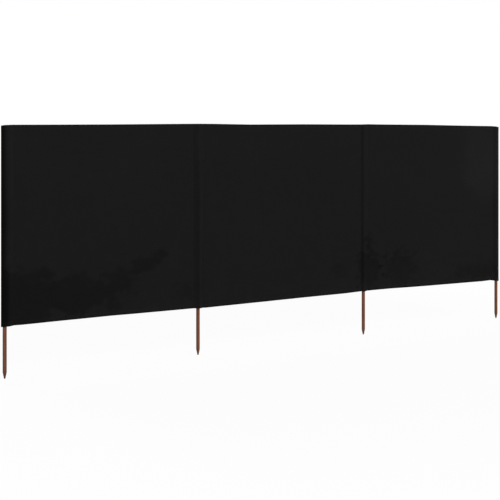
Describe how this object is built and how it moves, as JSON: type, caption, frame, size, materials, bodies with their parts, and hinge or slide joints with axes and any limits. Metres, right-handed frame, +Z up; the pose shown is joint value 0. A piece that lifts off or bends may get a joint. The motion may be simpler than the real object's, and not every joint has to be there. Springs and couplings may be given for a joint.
{
  "type": "beach windbreak",
  "caption": "Beach windbreak: a long black cloth in bays, sewn into sleeves round pointed round wooden posts that stand in the ground; the end bays swing about the inner posts.",
  "frame": {"origin": "centre of the blunt tip face of post_2, the left one of the two inner posts", "axes": "+X along the row of posts, +Y to the back of the cloth, +Z up along the posts"},
  "size_m": [4, 0.0262, 1.5053],
  "materials": {
    "post_wood": "reddish-brown stain, matt",
    "cloth": "plain woven black polyester, matt"
  },
  "bodies": {
    "middle_bay": {"post_2": "post_wood", "post_3": "post_wood", "sleeve_2": "cloth", "sleeve_3": "cloth", "seam_strip_2_right": "cloth", "seam_strip_3_left": "cloth", "panel_2": "cloth", "top_hem_2": "cloth", "bottom_hem_2": "cloth"},
    "left_bay": {"post_1": "post_wood", "sleeve_1": "cloth", "seam_strip_1": "cloth", "seam_strip_2_left": "cloth", "panel_1": "cloth", "top_hem_1": "cloth", "bottom_hem_1": "cloth"},
    "right_bay": {"post_4": "post_wood", "sleeve_4": "cloth", "seam_strip_4": "cloth", "seam_strip_3_right": "cloth", "panel_3": "cloth", "top_hem_3": "cloth", "bottom_hem_3": "cloth"}
  },
  "joints": [
    {"name": "left_bay_swing", "type": "hinge", "parent": "middle_bay", "child": "left_bay", "pos_m": [0, 0, 0], "axis": [0, 0, 1], "range_deg": [-110, 110]},
    {"name": "right_bay_swing", "type": "hinge", "parent": "middle_bay", "child": "right_bay", "pos_m": [1.355, 0, 0], "axis": [0, 0, -1], "range_deg": [-110, 110]}
  ]
}
